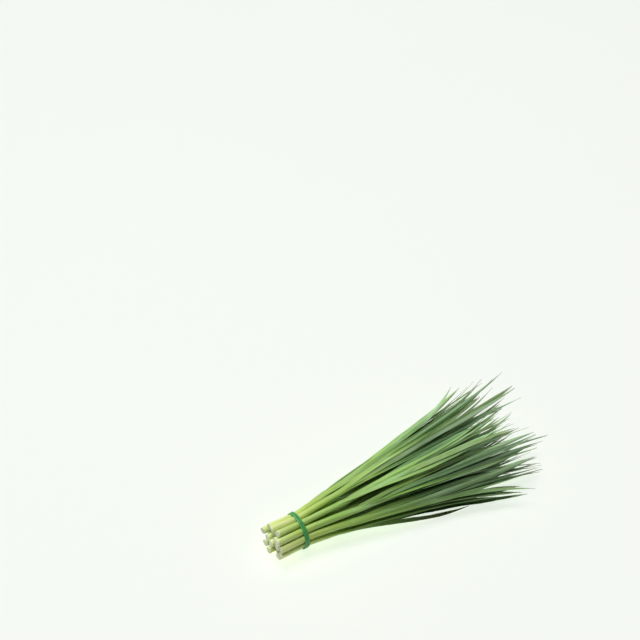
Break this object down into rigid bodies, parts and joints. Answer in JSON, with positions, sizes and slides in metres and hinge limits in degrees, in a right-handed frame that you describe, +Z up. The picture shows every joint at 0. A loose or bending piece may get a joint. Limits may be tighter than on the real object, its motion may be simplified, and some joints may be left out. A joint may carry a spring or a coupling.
{
  "type": "bunch of leeks",
  "caption": "Bunch of thin-leaved leeks with trimmed pale stems, held by a doubled rubber band and lying with its leaves fanned out.",
  "frame": {"origin": "on the table, under the middle of the bunch's bounding box", "axes": "+X from the cut ends to the leaf tips, +Y across the bunch, +Z up"},
  "size_m": [0.3024, 0.135, 0.0683],
  "materials": {
    "stem": "smooth pale yellow-green leaf sheath, slightly waxy, almost white at the cut end",
    "leaf": "mid green leaf with a grey waxy bloom and fine lengthwise ribs",
    "rubber_band": "satin green rubber"
  },
  "bodies": {
    "root": {"rubber_band": "rubber_band", "stem_01": "stem", "stem_01_lower_leaf": "leaf", "stem_01_upper_leaf": "leaf", "stem_02": "stem", "stem_02_lower_leaf": "leaf", "stem_02_upper_leaf": "leaf", "stem_03": "stem", "stem_03_lower_leaf": "leaf", "stem_03_upper_leaf": "leaf", "stem_04": "stem", "stem_04_lower_leaf": "leaf", "stem_04_upper_leaf": "leaf", "stem_05": "stem", "stem_05_lower_leaf": "leaf", "stem_05_upper_leaf": "leaf", "stem_06": "stem", "stem_06_lower_leaf": "leaf", "stem_06_upper_leaf": "leaf", "stem_07": "stem", "stem_07_lower_leaf": "leaf", "stem_07_upper_leaf": "leaf", "stem_08": "stem", "stem_08_lower_leaf": "leaf", "stem_08_upper_leaf": "leaf", "stem_09": "stem", "stem_09_lower_leaf": "leaf", "stem_09_upper_leaf": "leaf", "stem_10": "stem", "stem_10_lower_leaf": "leaf", "stem_10_upper_leaf": "leaf", "stem_11": "stem", "stem_11_lower_leaf": "leaf", "stem_11_upper_leaf": "leaf", "stem_12": "stem", "stem_12_lower_leaf": "leaf", "stem_12_upper_leaf": "leaf", "stem_13": "stem", "stem_13_lower_leaf": "leaf", "stem_13_upper_leaf": "leaf", "stem_14": "stem", "stem_14_lower_leaf": "leaf", "stem_14_upper_leaf": "leaf", "stem_15": "stem", "stem_15_lower_leaf": "leaf", "stem_15_upper_leaf": "leaf", "stem_16": "stem", "stem_16_lower_leaf": "leaf", "stem_16_upper_leaf": "leaf", "stem_17": "stem", "stem_17_lower_leaf": "leaf", "stem_17_upper_leaf": "leaf", "stem_18": "stem", "stem_18_lower_leaf": "leaf", "stem_18_upper_leaf": "leaf", "stem_19": "stem", "stem_19_lower_leaf": "leaf", "stem_19_upper_leaf": "leaf"}
  },
  "joints": []
}
